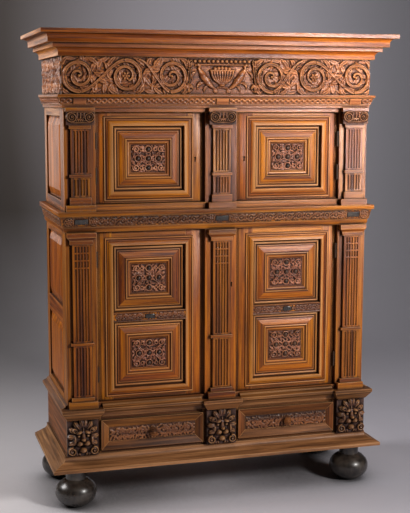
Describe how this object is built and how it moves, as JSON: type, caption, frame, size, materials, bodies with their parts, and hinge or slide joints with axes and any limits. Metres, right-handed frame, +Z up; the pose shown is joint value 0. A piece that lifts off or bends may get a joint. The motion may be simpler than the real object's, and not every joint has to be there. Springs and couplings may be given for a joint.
{
  "type": "two-part cabinet",
  "caption": "Tall oak cabinet in two stacked cases with panelled doors, drawers, fluted pilasters, carved frieze, deep cornice and black ball feet.",
  "frame": {"origin": "on the floor under the middle of the overall box", "axes": "+X to the viewer's right, +Y to the back, +Z up; the doors face -Y"},
  "size_m": [1.692, 0.685, 2.2],
  "materials": {
    "oak": "waxed and polished, worn at the edges",
    "inside_oak": "bare, unpolished boards",
    "black_wood": "blackened and polished",
    "iron": "dark, hand forged"
  },
  "bodies": {
    "cabinet": {"front_bun_feet": "black_wood", "rear_bun_feet": "black_wood", "plinth_case": "oak", "base_moulding": "oak", "lion_blocks": "oak", "drawer_runners": "inside_oak", "step_moulding": "oak", "lower_case_frame": "oak", "lower_side_panels": "oak", "lower_back": "inside_oak", "lower_floor": "inside_oak", "lower_shelf": "inside_oak", "lower_top": "inside_oak", "waist_moulding": "oak", "waist_tablets": "black_wood", "lower_pilasters": "oak", "upper_case_frame": "oak", "upper_side_panels": "oak", "upper_back": "inside_oak", "upper_floor": "oak", "upper_shelf": "inside_oak", "upper_top": "inside_oak", "upper_pilasters": "oak", "architrave": "oak", "frieze": "oak", "cornice": "oak", "locating_dowels": "inside_oak", "hinge_case_leaves": "iron", "hinge_pins": "iron"},
    "upper_left_door": {"upper_left_door_frame": "oak", "upper_left_door_moulding": "oak", "upper_left_door_panel": "oak", "upper_left_door_hinge_leaves": "iron", "upper_left_door_lock": "iron"},
    "upper_left_door_bolt": {"upper_left_door_bolt": "iron"},
    "upper_right_door": {"upper_right_door_frame": "oak", "upper_right_door_moulding": "oak", "upper_right_door_panel": "oak", "upper_right_door_hinge_leaves": "iron", "upper_right_door_lock": "iron"},
    "upper_right_door_bolt": {"upper_right_door_bolt": "iron"},
    "lower_left_door": {"lower_left_door_frame": "oak", "lower_left_door_moulding": "oak", "lower_left_door_panels": "oak", "lower_left_door_tablet": "black_wood", "lower_left_door_hinge_leaves": "iron", "lower_left_door_pilaster": "oak", "lower_left_door_lock": "iron"},
    "lower_left_door_bolt": {"lower_left_door_bolt": "iron"},
    "lower_right_door": {"lower_right_door_frame": "oak", "lower_right_door_moulding": "oak", "lower_right_door_panels": "oak", "lower_right_door_tablet": "black_wood", "lower_right_door_hinge_leaves": "iron"},
    "left_drawer": {"left_drawer_front": "oak", "left_drawer_box": "inside_oak", "left_drawer_knob": "black_wood"},
    "right_drawer": {"right_drawer_front": "oak", "right_drawer_box": "inside_oak", "right_drawer_knob": "black_wood"}
  },
  "joints": [
    {"name": "upper_left_door_swing", "type": "hinge", "parent": "cabinet", "child": "upper_left_door", "pos_m": [-0.589, -0.2225, 1.63], "axis": [0, 0, -1], "range_deg": [0, 95]},
    {"name": "upper_left_door_bolt_slide", "type": "slide", "parent": "upper_left_door", "child": "upper_left_door_bolt", "axis": [1, 0, 0], "range_m": [0, 0.014]},
    {"name": "upper_right_door_swing", "type": "hinge", "parent": "cabinet", "child": "upper_right_door", "pos_m": [0.589, -0.2225, 1.63], "axis": [0, 0, 1], "range_deg": [0, 95]},
    {"name": "upper_right_door_bolt_slide", "type": "slide", "parent": "upper_right_door", "child": "upper_right_door_bolt", "axis": [-1, 0, 0], "range_m": [0, 0.014]},
    {"name": "lower_left_door_swing", "type": "hinge", "parent": "cabinet", "child": "lower_left_door", "pos_m": [-0.589, -0.2225, 0.898], "axis": [0, 0, -1], "range_deg": [0, 95]},
    {"name": "lower_left_door_bolt_slide", "type": "slide", "parent": "lower_left_door", "child": "lower_left_door_bolt", "axis": [1, 0, 0], "range_m": [0, 0.014]},
    {"name": "lower_right_door_swing", "type": "hinge", "parent": "cabinet", "child": "lower_right_door", "pos_m": [0.589, -0.2225, 0.898], "axis": [0, 0, 1], "range_deg": [0, 95]},
    {"name": "left_drawer_slide", "type": "slide", "parent": "cabinet", "child": "left_drawer", "axis": [0, -1, 0], "range_m": [0, 0.36]},
    {"name": "right_drawer_slide", "type": "slide", "parent": "cabinet", "child": "right_drawer", "axis": [0, -1, 0], "range_m": [0, 0.36]}
  ]
}
